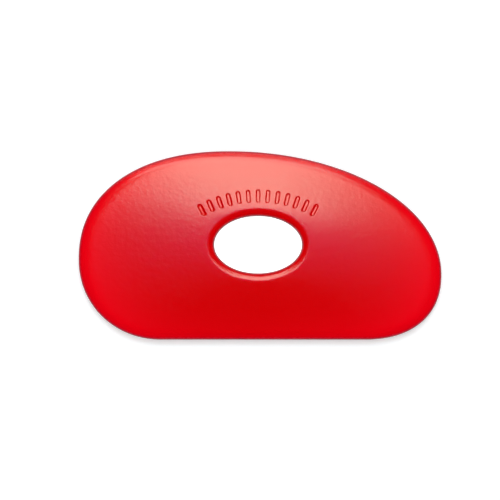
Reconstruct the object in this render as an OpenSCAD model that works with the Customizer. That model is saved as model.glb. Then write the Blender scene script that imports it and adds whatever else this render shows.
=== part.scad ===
// Pottery rib: one soft moulding with a straight working edge, a curved back, an
// oval finger hole and two crowned faces that taper to a bevel and a blunt edge.
// X runs along the length, Y from the straight edge to the curved back, Z up.
// The origin is under the middle of the rib, on the surface that it rests on.

/* [Outline] */
// Length from the left end to the right end
rib_length = 127; // [115:1:150]
// Width from the straight working edge to the top of the curved back
rib_width = 65.9; // [60:0.1:76]
// Distance from the left end to the highest point of the back
back_peak_x = 53; // [45:0.5:62]
// Height of the left end's outermost point above the straight edge
left_tip_height = 27.9; // [22:0.1:34]
// Height of the right end's outermost point above the straight edge
right_tip_height = 22.9; // [18:0.1:30]
// Distance from the left end to the start of the straight edge
edge_start = 28.7; // [22:0.1:36]
// Distance from the end of the straight edge to the right end
edge_end_gap = 27; // [20:0.1:36]

/* [Fullness of the curves] */
// Upper left curve, where 2 is an ellipse and more is squarer
upper_left_fullness = 2.25; // [1.9:0.01:2.8]
// Upper right curve, the long slope of the back
upper_right_fullness = 2; // [1.8:0.01:2.4]
// Lower left curve, from the left end to the straight edge
lower_left_fullness = 2.04; // [1.8:0.01:2.8]
// Lower right curve, from the straight edge to the right end
lower_right_fullness = 2.29; // [1.8:0.01:2.8]

/* [Finger hole] */
// Length of the oval hole along the rib, half way through where it is narrowest
hole_length = 30.7; // [24:0.1:36]
// Width of the oval hole across the rib, half way through
hole_width = 20; // [16:0.1:24]
// Distance from the left end to the middle of the hole
hole_x = 62.8; // [56:0.1:70]
// Height of the middle of the hole above the straight edge
hole_y = 33.2; // [29:0.1:37]
// Lean of the hole's wall from upright, so that it opens towards both faces
wall_lean = 3; // [1:0.5:10]
// Width of the rounded lip between the wall and each face
lip_width = 2.6; // [1:0.1:4]
// Depth of the rounded lip below each face
lip_depth = 1.6; // [0.8:0.1:2.4]
// Width of the flat ring round the hole on the lower face, which the rib rests on
seat_width = 2; // [1:0.1:4]

/* [Thickness] */
// Full thickness round the hole
body_thickness = 8; // [6:0.1:12]
// Crown of the faces, where 1 is a straight taper and more stays thick for longer
crown_fullness = 1.2; // [1:0.05:3]
// Width of the bevel that runs round the outside
bevel_width = 2.5; // [1.5:0.1:3]
// Slope of the bevel in degrees
bevel_angle = 24; // [15:1:30]
// Radius on both corners of the outer edge
edge_round = 0.9; // [0.4:0.05:1.1]
// Upright band left between the two rounded corners of the edge
edge_band = 0.2; // [0.1:0.05:1]

/* [Grip marks] */
// Number of grip marks over the hole on the upper face
grip_count = 13; // [3:1:15]
// Length of one mark
grip_length = 4.2; // [3:0.1:5]
// Width of one mark, with round ends of half this
grip_width = 1.2; // [0.8:0.1:2]
// Depth of the marks below the crowned face
grip_depth = 0.4; // [0.2:0.05:0.8]
// Distance between neighbouring marks along their arc
grip_pitch = 3.4; // [2.8:0.1:4.4]
// Radius of the arc that the marks follow
grip_arc_radius = 41.5; // [35:0.5:60]
// Gap between the outside of the lip and the marks
grip_gap = 2.1; // [1:0.1:4]

/* [Smoothness] */
// Steps in each of the four curves of the outline
curve_steps = 22; // [12:1:26]
// Steps along the straight edge
straight_steps = 12; // [4:1:14]
// Steps across each crowned face
crown_steps = 6; // [4:1:8]
// Steps in the rounding of the hole's lip
lip_steps = 5; // [3:1:6]
// Steps in each rounded corner of the edge
edge_steps = 2; // [2:1:4]

/* [Hidden] */
$fn = 48;
cut_margin = 1;

half_body = body_thickness / 2;
column_count = 4 * curve_steps + straight_steps;
edge_end_x = rib_length - edge_end_gap;

// Height of the straight part of the hole's wall over the middle plane, and how far
// outside the narrowest part of the hole the wall ends and each face starts
wall_height = half_body - lip_depth;
wall_reach = wall_height * tan(wall_lean);
lip_reach = wall_reach + lip_width;

// Where the bevel leaves the rounded corner, and its height where it meets the crown
bevel_inset = edge_round * (1 - sin(bevel_angle));
bevel_low = edge_band / 2 + edge_round * cos(bevel_angle);
bevel_high = bevel_low + (bevel_width - bevel_inset) * tan(bevel_angle);

// One point of a quarter curve with its outward normal, turned by the signs
// sx and sy into the quarter that it belongs to: [x, y, normal x, normal y]
function curve_point(cx, cy, a, b, fullness, angle, sx, sy) =
    let (reach = 2 / fullness)
    let (c = pow(cos(angle), reach), s = pow(sin(angle), reach))
    let (nx = pow(cos(angle), 2 - reach) / a, ny = pow(sin(angle), 2 - reach) / b)
    let (size = norm([nx, ny]))
    [cx + sx * a * c, cy + sy * b * s, sx * nx / size, sy * ny / size];

// The outline, anticlockwise from the right end
outline = concat(
    [for (k = [0 : curve_steps - 1])
        curve_point(back_peak_x, right_tip_height,
            rib_length - back_peak_x, rib_width - right_tip_height,
            upper_right_fullness, 90 * k / curve_steps, 1, 1)],
    [for (k = [0 : curve_steps - 1])
        curve_point(back_peak_x, left_tip_height,
            back_peak_x, rib_width - left_tip_height,
            upper_left_fullness, 90 - 90 * k / curve_steps, -1, 1)],
    [for (k = [0 : curve_steps - 1])
        curve_point(edge_start, left_tip_height,
            edge_start, left_tip_height,
            lower_left_fullness, 90 * k / curve_steps, -1, -1)],
    [for (k = [0 : straight_steps - 1])
        [edge_start + (edge_end_x - edge_start) * k / straight_steps, 0, 0, -1]],
    [for (k = [0 : curve_steps - 1])
        curve_point(edge_end_x, right_tip_height,
            edge_end_gap, right_tip_height,
            lower_right_fullness, 90 - 90 * k / curve_steps, 1, -1)]
);

// A point at a distance inside the outline, in column i
function inside_edge(i, distance) =
    [outline[i][0] - distance * outline[i][2], outline[i][1] - distance * outline[i][3]];

// A point at a distance outside the hole, on the line from the hole's middle to column i
function outside_hole(i, distance) =
    let (a = hole_length / 2, b = hole_width / 2)
    let (angle = atan2((outline[i][1] - hole_y) / b, (outline[i][0] - hole_x) / a))
    let (normal = [b * cos(angle), a * sin(angle)])
    let (out = distance / norm(normal))
    [hole_x + a * cos(angle) + out * normal[0], hole_y + b * sin(angle) + out * normal[1]];

// One face from the top of the hole's wall to the outer edge, with a flat ring of a
// given width round the hole, as rings of [distance outside the hole, share of the way
// across to the edge, distance inside the edge, height from the middle plane]. The lip
// is a quarter of an ellipse.
function face_rings(flat) =
    let (start = lip_reach + flat)
    concat(
        [for (k = [0 : lip_steps])
            let (angle = 90 * k / lip_steps)
            [wall_reach + lip_width * (1 - cos(angle)), 0, 0, wall_height + lip_depth * sin(angle)]],
        [for (k = [(flat > 0 ? 0 : 1) : crown_steps])
            let (share = k / crown_steps)
            let (drop = (half_body - bevel_high) * pow(share, crown_fullness))
            [start, share, bevel_width, half_body - drop]],
        [for (k = [0 : edge_steps])
            let (angle = (90 - bevel_angle) * (1 - k / edge_steps))
            [0, 1, edge_round * (1 - cos(angle)), edge_band / 2 + edge_round * sin(angle)]]
    );

// All rings: the narrowest part of the hole, the upper face, and the lower face back to the hole
upper_rings = face_rings(0);
lower_rings = face_rings(seat_width);
rings = concat(
    [[0, 0, 0, 0]],
    upper_rings,
    [for (k = [len(lower_rings) - 1 : -1 : 0])
        [lower_rings[k][0], lower_rings[k][1], lower_rings[k][2], -lower_rings[k][3]]]
);
ring_count = len(rings);

function ring_point(ring, i) =
    let (place = outside_hole(i, ring[0]) * (1 - ring[1]) + inside_edge(i, ring[2]) * ring[1])
    [place[0] - rib_length / 2, place[1] - rib_width / 2, half_body + ring[3]];

// The whole moulding without its marks, as rings of points joined by triangles
module blank() {
    corner = [for (ring = rings, i = [0 : column_count - 1]) ring_point(ring, i)];
    facets = [for (j = [0 : ring_count - 1], i = [0 : column_count - 1])
        let (j2 = (j + 1) % ring_count, i2 = (i + 1) % column_count)
        let (a = j * column_count + i, b = j * column_count + i2)
        let (c = j2 * column_count + i2, d = j2 * column_count + i)
        each [[a, b, c], [a, c, d]]];
    polyhedron(points = corner, faces = facets, convexity = 6);
}

// The post that cuts one mark, with round ends, standing across its arc
module grip_post() {
    linear_extrude(half_body + cut_margin) {
        square([grip_width, grip_length - grip_width], center = true);
        for (side = [-1, 1])
            translate([0, side * (grip_length - grip_width) / 2])
                circle(d = grip_width);
    }
}

// The arc of marks over the hole, sunk to the same depth all along the crown
module grip_marks() {
    row_y = hole_y + hole_width / 2 + lip_reach + grip_gap + grip_length / 2;
    pitch_angle = grip_pitch / grip_arc_radius * 180 / PI;
    difference() {
        translate([hole_x - rib_length / 2, row_y - rib_width / 2 - grip_arc_radius, half_body])
            for (k = [0 : grip_count - 1])
                rotate(((grip_count - 1) / 2 - k) * pitch_angle)
                    translate([0, grip_arc_radius, 0])
                        grip_post();
        translate([0, 0, -grip_depth])
            blank();
    }
}

module rib() {
    color([0.84, 0.03, 0.06])
        difference() {
            blank();
            grip_marks();
        }
}

rib();
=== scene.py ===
"""A soft red pottery rib lying on a pale table, seen from straight above.

The moulding is built ring by ring, from the wall of the finger hole out over the
upper face to the edge and back under the lower face. All lengths are in metres.
X runs along the rib, Y from the straight working edge to the curved back, Z up.
"""

import math

import bmesh
import bpy
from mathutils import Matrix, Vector


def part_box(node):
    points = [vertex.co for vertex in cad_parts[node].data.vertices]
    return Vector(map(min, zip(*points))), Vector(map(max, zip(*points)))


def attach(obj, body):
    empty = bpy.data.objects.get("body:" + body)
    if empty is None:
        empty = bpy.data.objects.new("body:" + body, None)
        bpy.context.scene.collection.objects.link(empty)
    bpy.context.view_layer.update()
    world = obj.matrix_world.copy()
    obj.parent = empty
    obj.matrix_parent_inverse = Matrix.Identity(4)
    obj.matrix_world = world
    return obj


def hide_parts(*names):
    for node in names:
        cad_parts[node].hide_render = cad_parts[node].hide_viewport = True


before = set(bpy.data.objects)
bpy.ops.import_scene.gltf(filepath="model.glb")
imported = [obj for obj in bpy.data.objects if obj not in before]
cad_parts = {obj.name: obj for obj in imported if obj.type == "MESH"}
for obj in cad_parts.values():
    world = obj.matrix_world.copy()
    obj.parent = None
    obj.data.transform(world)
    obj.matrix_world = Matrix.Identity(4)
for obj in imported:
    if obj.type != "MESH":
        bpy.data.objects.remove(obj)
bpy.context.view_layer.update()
low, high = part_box("rib")

MM = 0.001

# Overall size and resting height, from the frame
length = high.x - low.x
thickness = high.z - low.z
left = low.x
bottom = low.y
mid_z = (low.z + high.z) / 2

# Outline, as on the solid
back_peak_x = left + 53.0 * MM
left_tip_y = bottom + 27.9 * MM
right_tip_y = bottom + 22.9 * MM
edge_start_x = left + 28.7 * MM
edge_end_x = high.x - 27.0 * MM
upper_left_fullness = 2.25
upper_right_fullness = 2.0
lower_left_fullness = 2.04
lower_right_fullness = 2.29

# Finger hole, its lip, and the ring round it on the lower face
hole_x = left + 62.8 * MM
hole_y = bottom + 33.2 * MM
hole_a = 30.7 * MM / 2
hole_b = 20.0 * MM / 2
wall_lean = math.radians(3)
lip_width = 2.6 * MM
lip_depth = 1.6 * MM
seat_width = 2.0 * MM
half_body = thickness / 2
wall_height = half_body - lip_depth
wall_reach = wall_height * math.tan(wall_lean)
lip_reach = wall_reach + lip_width

# Faces, bevel and edge
crown_fullness = 1.2
bevel_width = 2.5 * MM
bevel_angle = math.radians(24)
edge_round = 0.9 * MM
edge_band = 0.2 * MM
bevel_inset = edge_round * (1 - math.sin(bevel_angle))
bevel_low = edge_band / 2 + edge_round * math.cos(bevel_angle)
bevel_high = bevel_low + (bevel_width - bevel_inset) * math.tan(bevel_angle)
parting_height = 0.06 * MM

# Grip marks over the hole, and how far from the hole's wall to look for them
grip_count = 13
grip_length = 4.2 * MM
grip_half_width = 0.6 * MM
grip_depth = 0.4 * MM
grip_pitch = 3.4 * MM
grip_arc_radius = 41.5 * MM
grip_gap = 2.1 * MM
grip_soft = 0.28 * MM
grip_search = 12 * MM

# Light that comes through the moulding, painted into its colour as a brighter red
far_reach = 46.0 * MM
glow_fullness = 3.0
glow_spread = 1.5
bevel_glow = 0.7
lip_glow = 0.35

# Painted shade: a dark line at the outer edge and on the wall of the hole
edge_line = 1.1 * MM
wall_line = 0.5 * MM

# Columns round the hole, close together in the directions of the grip marks
fine_from, fine_to = math.radians(22), math.radians(158)
fine_columns = 330
plain_columns = 240
halvings = 40

# Rings across the moulding. The grip marks lie in the first share of the way across the
# upper face, and each face's last ring stays a little short of the bevel.
wall_steps = 4
lip_steps = 16
seat_steps = 3
marked_share = 0.45
marked_steps = 46
last_share = 0.97
upper_steps = 14
lower_steps = 20
bevel_steps = 5
edge_steps = 8

# Reds of the polymer, and the glow at which it is thick and thin. The brighter thin red is painted
# light that comes through the moulding, and part of its blue is a painted bluish reflection
thick_red = (0.65, 0.0, 0.001, 1)
thin_red = (0.85, 0.0, 0.006, 1)
painted_shade_red = (0.36, 0.002, 0.02, 1)
thick_glow = 0.04
thin_glow = 1.04
cloud_scale = 90.0
cloud_detail = 3.0
cloud_strength = 0.08

# Gloss of the polymer, mottled between two roughnesses and duller in the dark line
polymer_ior = 1.5
mottle_scale = 800.0
mottle_detail = 2.0
mottle_low, mottle_high = 0.3, 0.7
glossy, dull = 0.175, 0.245
line_wear = 0.2

# Grain of the polymer
grain_scale = 700.0
grain_detail = 3.0
grain_roughness = 0.6
grain_height = 0.05 * MM

# Table: its colour, how white it is by itself near the rib, and the painted light under the finger
# hole, which hides the rib's shadow there. The first fade is in half sizes of the hole, the second
# in lengths of the rib.
table_colour = (0.745, 0.81, 0.82, 1)
floor_white = 0.35
painted_hole_light = 1.0
patch_from, patch_to = 1.0, 1.2
backdrop_from, backdrop_to = 1.2, 3.0
table_half_size = 3.0
table_gap = 0.02 * MM

# Height of the white band at the horizon, as a share of straight up
horizon_height = 0.3

# Lights: distance, tilt from upright, half height and half width in radians, brightness
window_light = (2.2, 0.41, 0.27, 0.22, 6.4)
window_shine = (2.0, 0.33, 0.20, 0.18, 8.6)
low_shine = (1.8, 0.70, 0.16, 0.33, 6.6)
sky_shine = (1.6, 0.10, 0.12, 0.2, 1.2)
room_light = (1.5, 0.0, 1.25, 1.25, 0.64)
window_tint = (0.82, 0.96, 0.78)
low_tint = (0.82, 0.95, 0.85)
low_turn = 0.06
sky_tint = (0.1, 0.05, 1.0)

# Camera: the width that it shows at half the rib's height, and the middle of its view
shown_width = 175.2 * MM
view_x = left + 59.98 * MM
view_y = bottom + 31.34 * MM
lens = 120


def curve_point(cx, cy, a, b, fullness, angle, sx, sy):
    """A point of one quarter of the outline and its outward normal."""
    reach = 2 / fullness
    c, s = max(math.cos(angle), 0.0), max(math.sin(angle), 0.0)
    normal = Vector((sx * c ** (2 - reach) / a, sy * s ** (2 - reach) / b))
    return Vector((cx + sx * a * c ** reach, cy + sy * b * s ** reach)), normal.normalized()


def outline_point(place):
    """The outline and its outward normal at a place from 0 to 5, anticlockwise from the right
    end: 0 to 3 are the upper right, upper left and lower left curves, 3 to 4 the straight
    edge, and 4 to 5 the lower right curve."""
    part = min(int(place), 4)
    share = place - part
    up, down = share * math.pi / 2, (1 - share) * math.pi / 2
    if part == 0:
        return curve_point(back_peak_x, right_tip_y, high.x - back_peak_x, high.y - right_tip_y,
                           upper_right_fullness, up, 1, 1)
    if part == 1:
        return curve_point(back_peak_x, left_tip_y, back_peak_x - left, high.y - left_tip_y,
                           upper_left_fullness, down, -1, 1)
    if part == 2:
        return curve_point(edge_start_x, left_tip_y, edge_start_x - left, left_tip_y - bottom,
                           lower_left_fullness, up, -1, -1)
    if part == 3:
        x = edge_start_x + (edge_end_x - edge_start_x) * share
        return Vector((x, bottom)), Vector((0.0, -1.0))
    return curve_point(edge_end_x, right_tip_y, high.x - edge_end_x, right_tip_y - bottom,
                       lower_right_fullness, down, 1, -1)


def direction_of(place):
    """The direction from the hole's middle to a place on the outline, from 0 to a full turn."""
    point, _ = outline_point(place)
    return math.atan2(point.y - hole_y, point.x - hole_x) % math.tau


def place_towards(angle):
    """The place on the outline that lies in a direction from the hole's middle."""
    start = direction_of(0.0)
    turn = (angle - start) % math.tau
    lowest, highest = 0.0, 5.0
    for _ in range(halvings):
        middle = (lowest + highest) / 2
        if (direction_of(middle) - start) % math.tau < turn:
            lowest = middle
        else:
            highest = middle
    return (lowest + highest) / 2


def column_angles():
    """Directions of the columns: close together over the grip marks, wider elsewhere."""
    fine = [fine_from + (fine_to - fine_from) * k / fine_columns for k in range(fine_columns)]
    rest = math.tau - (fine_to - fine_from)
    return fine + [fine_to + rest * k / plain_columns for k in range(plain_columns)]


class Column:
    """One line from the finger hole to the outer edge."""

    def __init__(self, angle):
        self.edge, self.out = outline_point(place_towards(angle))
        turn = math.atan2((self.edge.y - hole_y) / hole_b, (self.edge.x - hole_x) / hole_a)
        self.wall = Vector((hole_x + hole_a * math.cos(turn), hole_y + hole_b * math.sin(turn)))
        self.away = Vector((hole_b * math.cos(turn), hole_a * math.sin(turn))).normalized()
        self.reach = (self.edge - self.wall).length

    def place(self, ring):
        """Where a ring crosses this line, seen from above."""
        outside, share, inside = ring[:3]
        return (self.wall + outside * self.away).lerp(self.edge - inside * self.out, share)


def spread(start, end, steps):
    """Even steps after start, up to and with end."""
    return [start + (end - start) * (k + 1) / steps for k in range(steps)]


def face_rings(flat, shares):
    """One face from the hole's rim to the outer edge, as rings of (distance outside the hole,
    share across, distance inside the edge, height above the middle plane)."""
    rings = []
    start = lip_reach + flat
    for height in spread(0.0, wall_height, wall_steps)[:-1]:
        rings.append((height * math.tan(wall_lean), 0.0, 0.0, height))
    for k in range(lip_steps + 1):
        turn = math.pi / 2 * k / lip_steps
        outside = wall_reach + lip_width * (1 - math.cos(turn))
        rings.append((outside, 0.0, 0.0, wall_height + lip_depth * math.sin(turn)))
    if flat:
        for share in spread(0.0, 1.0, seat_steps):
            rings.append((lip_reach + flat * share, 0.0, 0.0, half_body))
    for share in shares:
        drop = (half_body - bevel_high) * share ** crown_fullness
        rings.append((start, share, bevel_width, half_body - drop))
    slope = math.tan(bevel_angle)
    for inset in spread(bevel_width, bevel_inset, bevel_steps)[:-1]:
        rings.append((0.0, 1.0, inset, bevel_low + (inset - bevel_inset) * slope))
    first_turn = math.pi / 2 - bevel_angle
    for k in range(edge_steps + 1):
        turn = first_turn - first_turn * k / edge_steps
        height = edge_band / 2 + edge_round * math.sin(turn)
        rings.append((0.0, 1.0, edge_round * (1 - math.cos(turn)), height))
    rings.append((0.0, 1.0, 0.0, parting_height))
    return rings


def all_rings():
    """The narrowest part of the hole, the upper face, the parting line round the outer edge, and
    the lower face back to the hole."""
    marked = spread(0.0, marked_share, marked_steps)
    upper = face_rings(0.0, marked + spread(marked_share, last_share, upper_steps))
    lower = face_rings(seat_width, spread(0.0, last_share, lower_steps))
    narrowest = (0.0, 0.0, 0.0, 0.0)
    line = (0.0, 1.0, -parting_height, 0.0)
    return [narrowest] + upper + [line] + [(*ring[:3], -ring[3]) for ring in lower[::-1]]


def grip_lines():
    """The middle line of each grip mark, as its two ends."""
    row_y = hole_y + hole_b + lip_reach + grip_gap + grip_length / 2
    centre = Vector((hole_x, row_y - grip_arc_radius))
    half = grip_length / 2 - grip_half_width
    lines = []
    for k in range(grip_count):
        turn = (k - (grip_count - 1) / 2) * grip_pitch / grip_arc_radius
        out = Vector((math.sin(turn), math.cos(turn)))
        middle = centre + out * grip_arc_radius
        lines.append((middle - out * half, middle + out * half))
    return lines


def grip_sink(point, lines):
    """How deep the grip marks go at a point of the upper face, with softened edges."""
    nearest = min(distance_to_line(point, start, end) for start, end in lines)
    share = (nearest - grip_half_width) / grip_soft + 0.5
    share = min(max(share, 0.0), 1.0)
    return grip_depth * (1 - share * share * (3 - 2 * share))


def distance_to_line(point, start, end):
    """How far a point is from the nearest point between two ends."""
    along = end - start
    share = (point - start).dot(along) / along.length_squared
    return (point - start - along * min(max(share, 0.0), 1.0)).length


def next_ring(bm, ring_verts, ring_edges):
    """Extrudes a ring and returns the new ring's vertices, in the same order, and its edges."""
    made = bmesh.ops.extrude_edge_only(bm, edges=ring_edges)["geom"]
    fresh = {part for part in made if isinstance(part, bmesh.types.BMVert)}
    verts = []
    for vert in ring_verts:
        joined = [edge.other_vert(vert) for edge in vert.link_edges]
        verts.append(next(other for other in joined if other in fresh))
    edges = [part for part in made if isinstance(part, bmesh.types.BMEdge)]
    return verts, [edge for edge in edges if edge.verts[0] in fresh and edge.verts[1] in fresh]


def glow_at(ring, column):
    """How much painted light comes through the moulding, as a brighter red: most at the thin far
    ends, more in the bevel, and a little at the lip."""
    outside, share, inside = ring[:3]
    if share == 0.0:
        return lip_glow * max(0.0, 1 - outside / lip_reach)
    crown = share ** glow_fullness * (column.reach / far_reach) ** glow_spread
    return crown + bevel_glow * (1 - inside / bevel_width) if share == 1.0 else crown


def shade_and_wear_at(ring):
    """How far a ring lies in the dark line of painted shade, which is also rougher: wholly at the
    outer edge and on the wall of the hole.
    """
    outside, share, inside = ring[:3]
    if share == 1.0:
        return max(0.0, 1 - inside / edge_line)
    if share == 0.0:
        return min(max(0.0, 1 - (outside - wall_reach) / wall_line), 1.0)
    return 0.0


def add_object(name, data):
    """A new object in the scene."""
    made = bpy.data.objects.new(name, data)
    bpy.context.scene.collection.objects.link(made)
    return made


def mesh_object(name, bm):
    """A new object in the scene with the shape of a finished bmesh."""
    mesh = bpy.data.meshes.new(name)
    bm.to_mesh(mesh)
    bm.free()
    return add_object(name, mesh)


def build_rib():
    """The whole moulding as one closed skin."""
    columns = [Column(angle) for angle in column_angles()]
    lines = grip_lines()
    bm = bmesh.new()
    glow_layer = bm.verts.layers.float.new("glow")
    shade_and_wear_layer = bm.verts.layers.float.new("edge")
    bmesh.ops.create_circle(bm, segments=len(columns), radius=1.0)
    bm.verts.ensure_lookup_table()
    ring_verts = list(bm.verts)
    ring_edges = list(bm.edges)
    first_edges = ring_edges
    for number, ring in enumerate(all_rings()):
        if number:
            ring_verts, ring_edges = next_ring(bm, ring_verts, ring_edges)
        height = ring[3]
        marked = height > bevel_high
        for vert, column in zip(ring_verts, columns):
            place = column.place(ring)
            near = marked and place.y > hole_y and (place - column.wall).length < grip_search
            sink = grip_sink(place, lines) if near else 0.0
            vert.co = (place.x, place.y, mid_z + height - sink)
            vert[glow_layer] = glow_at(ring, column)
            vert[shade_and_wear_layer] = shade_and_wear_at(ring)
    bmesh.ops.bridge_loops(bm, edges=first_edges + ring_edges)
    bmesh.ops.recalc_face_normals(bm, faces=bm.faces)
    for face in bm.faces:
        face.smooth = True
    return mesh_object("rib_moulding", bm)


def new_material(name):
    """A new material with its nodes and links."""
    material = bpy.data.materials.new(name)
    material.use_nodes = True
    return material, material.node_tree.nodes, material.node_tree.links


def attribute(nodes, name):
    """One of the skin's own attributes."""
    node = nodes.new("ShaderNodeAttribute")
    node.attribute_name = name
    return node.outputs["Fac"]


def noise(nodes, links, place, scale, detail):
    """A noise pattern that keeps its place on the rib."""
    node = nodes.new("ShaderNodeTexNoise")
    node.inputs["Scale"].default_value = scale
    node.inputs["Detail"].default_value = detail
    links.new(place.outputs["Object"], node.inputs["Vector"])
    return node


def combine(nodes, links, operation, first, second):
    """Two values joined by one operation."""
    node = nodes.new("ShaderNodeMath")
    node.operation = operation
    links.new(first, node.inputs[0])
    links.new(second, node.inputs[1])
    return node.outputs[0]


def add_part(nodes, links, base, part, value):
    """The base, plus a fixed part of the value."""
    node = nodes.new("ShaderNodeMath")
    node.operation = "MULTIPLY_ADD"
    node.inputs[1].default_value = part
    links.new(value, node.inputs[0])
    links.new(base, node.inputs[2])
    return node.outputs[0]


def fade(nodes, links, value, start, end, before, after):
    """An even change from before to after, as the value goes from start to end."""
    node = nodes.new("ShaderNodeMapRange")
    node.inputs["From Min"].default_value = start
    node.inputs["From Max"].default_value = end
    node.inputs["To Min"].default_value = before
    node.inputs["To Max"].default_value = after
    links.new(value, node.inputs["Value"])
    return node


def smooth_fade(nodes, links, value, start, end, before, after):
    """A change from before to after that starts and ends softly."""
    node = fade(nodes, links, value, start, end, before, after)
    node.interpolation_type = "SMOOTHSTEP"
    return node.outputs["Result"]


def soft_polymer():
    """Satin red polymer: deep red where it is thick, brighter where light comes through it, which
    is painted light, with a fine grain, a mottled gloss, and a line of painted shade at its edge
    and on the hole's wall, which is also worn rougher there."""
    material, nodes, links = new_material("soft_polymer")
    shader = nodes["Principled BSDF"]
    shader.inputs["IOR"].default_value = polymer_ior
    place = nodes.new("ShaderNodeTexCoord")
    edge = attribute(nodes, "edge")

    cloud = noise(nodes, links, place, cloud_scale, cloud_detail)
    glow = add_part(nodes, links, attribute(nodes, "glow"), cloud_strength, cloud.outputs["Fac"])
    # Painted light: the red brightens where light would come through the thin polymer.
    ramp = nodes.new("ShaderNodeValToRGB")
    ramp.color_ramp.elements[0].position = thick_glow
    ramp.color_ramp.elements[0].color = thick_red
    ramp.color_ramp.elements[1].position = thin_glow
    ramp.color_ramp.elements[1].color = thin_red
    links.new(glow, ramp.inputs["Fac"])
    # Painted shade: the colour turns dark red along the outer edge and on the hole's wall.
    line = nodes.new("ShaderNodeMix")
    line.data_type = "RGBA"
    line.inputs["B"].default_value = painted_shade_red
    links.new(edge, line.inputs["Factor"])
    links.new(ramp.outputs["Color"], line.inputs["A"])
    links.new(line.outputs["Result"], shader.inputs["Base Color"])

    mottle = noise(nodes, links, place, mottle_scale, mottle_detail)
    satin = fade(nodes, links, mottle.outputs["Fac"], mottle_low, mottle_high, glossy, dull)
    wear = add_part(nodes, links, satin.outputs["Result"], line_wear, edge)
    links.new(wear, shader.inputs["Roughness"])

    grain = noise(nodes, links, place, grain_scale, grain_detail)
    grain.inputs["Roughness"].default_value = grain_roughness
    bump = nodes.new("ShaderNodeBump")
    bump.inputs["Strength"].default_value = 1.0
    bump.inputs["Distance"].default_value = grain_height
    links.new(grain.outputs["Fac"], bump.inputs["Height"])
    links.new(bump.outputs["Normal"], shader.inputs["Normal"])
    return material


def seen_mirrored(nodes, links, ray):
    """1 for what is seen in a reflection or through something."""
    reflected, passed = ray.outputs["Is Glossy Ray"], ray.outputs["Is Transmission Ray"]
    return combine(nodes, links, "MAXIMUM", reflected, passed)


def away_from_hole(nodes, links, reach_x, reach_y):
    """How far a place on the table is from the middle of the finger hole, in the given reaches."""
    place = nodes.new("ShaderNodeTexCoord")
    centred = nodes.new("ShaderNodeMapping")
    centred.vector_type = "TEXTURE"
    centred.inputs["Location"].default_value = (hole_x, hole_y, 0.0)
    centred.inputs["Scale"].default_value = (reach_x, reach_y, 1.0)
    links.new(place.outputs["Object"], centred.inputs["Vector"])
    distance = nodes.new("ShaderNodeVectorMath")
    distance.operation = "LENGTH"
    links.new(centred.outputs[0], distance.inputs[0])
    return distance.outputs["Value"]


def table_white(nodes, links, ray):
    """How white the table is by itself: white far away, where it runs into the white behind it,
    and less round the rib, where its shadow shows. Seen straight through the finger hole it is
    white
    as well, as in the photograph: painted light for the camera that hides the rib's shadow there."""
    hole = away_from_hole(nodes, links, hole_a, hole_b)
    # Painted light: for the camera, the table under the hole is lit white, hiding the rib's shadow
    # there.
    spot = smooth_fade(nodes, links, hole, patch_from, patch_to, painted_hole_light, 0.0)
    patch = combine(nodes, links, "MULTIPLY", spot, ray.outputs["Is Camera Ray"])
    far = away_from_hole(nodes, links, length, length)
    backdrop = smooth_fade(nodes, links, far, backdrop_from, backdrop_to, floor_white, 1.0)
    return combine(nodes, links, "MAXIMUM", patch, backdrop)


def pale_table():
    """A pale table that shows white to the camera and in reflections, lights nothing by itself,
    and keeps the shadow, but for the painted light under the finger hole."""
    material, nodes, links = new_material("pale_table")
    nodes.clear()
    out = nodes.new("ShaderNodeOutputMaterial")
    diffuse = nodes.new("ShaderNodeBsdfDiffuse")
    diffuse.inputs["Color"].default_value = table_colour
    ray = nodes.new("ShaderNodeLightPath")
    mirrored = seen_mirrored(nodes, links, ray)
    seen = combine(nodes, links, "MAXIMUM", ray.outputs["Is Camera Ray"], mirrored)
    lift = combine(nodes, links, "MULTIPLY", seen, table_white(nodes, links, ray))
    glow = nodes.new("ShaderNodeEmission")
    links.new(lift, glow.inputs["Strength"])
    both = nodes.new("ShaderNodeAddShader")
    links.new(diffuse.outputs[0], both.inputs[0])
    links.new(glow.outputs[0], both.inputs[1])
    links.new(both.outputs[0], out.inputs["Surface"])
    return material


def make_floor():
    """The table top, a hair under the ring that the rib rests on."""
    bm = bmesh.new()
    bmesh.ops.create_grid(bm, x_segments=1, y_segments=1, size=table_half_size)
    bmesh.ops.translate(bm, vec=(0.0, 0.0, low.z - table_gap), verts=bm.verts)
    floor = mesh_object("table_top", bm)
    floor.data.materials.append(pale_table())


def matt_only(light):
    """Keeps a light out of the shine, so that it only lights the colour."""
    light.visible_glossy = False
    light.data.cycles.use_multiple_importance_sampling = False


def shine_only(light):
    """Keeps a light out of the colour, so that it only shows as shine."""
    light.visible_diffuse = False


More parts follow.
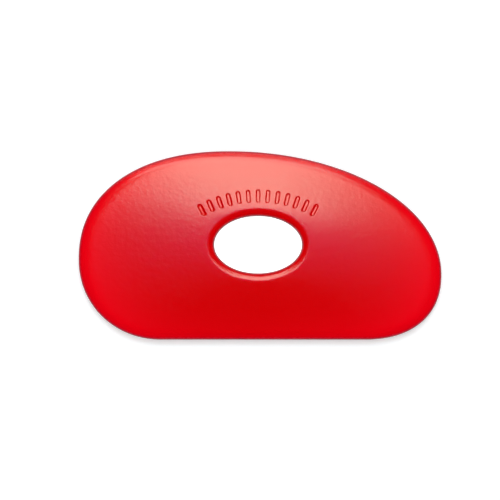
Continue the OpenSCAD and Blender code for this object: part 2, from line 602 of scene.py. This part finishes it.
def make_softbox(name, distance, tilt, half_height, half_width, radiance,
                 colour=(1, 1, 1), turn=0.0):
    """A rectangular light on the side of the curved back, seen from the rib under the given tilt
    from upright, turn to the left and half angles, so that its brightness and spread are set
    apart."""
    across = distance * math.sin(tilt)
    place = Vector((-across * math.sin(turn), across * math.cos(turn), distance * math.cos(tilt)))
    lamp = bpy.data.lights.new(name, "AREA")
    lamp.shape = "RECTANGLE"
    lamp.size = 2 * distance * math.tan(half_width)
    lamp.size_y = 2 * distance * math.tan(half_height)
    lamp.energy = radiance * math.pi * lamp.size * lamp.size_y
    lamp.color = colour
    box = add_object(name, lamp)
    box.location = place
    box.rotation_euler = (-place).to_track_quat("-Z", "Y").to_euler()
    return box


def make_lights():
    """A window box, split into its matt light and its shine, two dim panels that only shine, and
    a wide panel overhead that only lights the colour."""
    matt_only(make_softbox("window_light", *window_light))
    shine_only(make_softbox("window_shine", *window_shine, window_tint))
    shine_only(make_softbox("low_shine", *low_shine, low_tint, low_turn))
    shine_only(make_softbox("sky_shine", *sky_shine, sky_tint))
    matt_only(make_softbox("room_light", *room_light))


def make_world():
    """White behind the table, and at the horizon in reflections, with no light of its own."""
    world = bpy.data.worlds.new("studio")
    bpy.context.scene.world = world
    world.use_nodes = True
    nodes, links = world.node_tree.nodes, world.node_tree.links
    nodes.clear()
    out = nodes.new("ShaderNodeOutputWorld")
    place = nodes.new("ShaderNodeTexCoord")
    parts = nodes.new("ShaderNodeSeparateXYZ")
    links.new(place.outputs["Generated"], parts.inputs["Vector"])
    horizon = smooth_fade(nodes, links, parts.outputs["Z"], 0.0, horizon_height, 1.0, 0.0)
    ray = nodes.new("ShaderNodeLightPath")
    band = combine(nodes, links, "MULTIPLY", seen_mirrored(nodes, links, ray), horizon)
    seen = combine(nodes, links, "MAXIMUM", ray.outputs["Is Camera Ray"], band)
    room = nodes.new("ShaderNodeBackground")
    room.inputs["Color"].default_value = (1, 1, 1, 1)
    links.new(seen, room.inputs["Strength"])
    links.new(room.outputs[0], out.inputs["Surface"])
    world.cycles.sampling_method = "NONE"


def make_camera():
    """Straight above the rib, with the photograph's framing."""
    data = bpy.data.cameras.new("camera")
    data.lens = lens
    camera = add_object("camera", data)
    camera.location = (view_x, view_y, mid_z + shown_width * data.lens / data.sensor_width)
    bpy.context.scene.camera = camera


rib = build_rib()
rib.data.materials.append(soft_polymer())
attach(rib, "root")
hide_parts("rib")
make_floor()
make_lights()
make_world()
make_camera()

scene = bpy.context.scene
scene.view_settings.view_transform = "Standard"
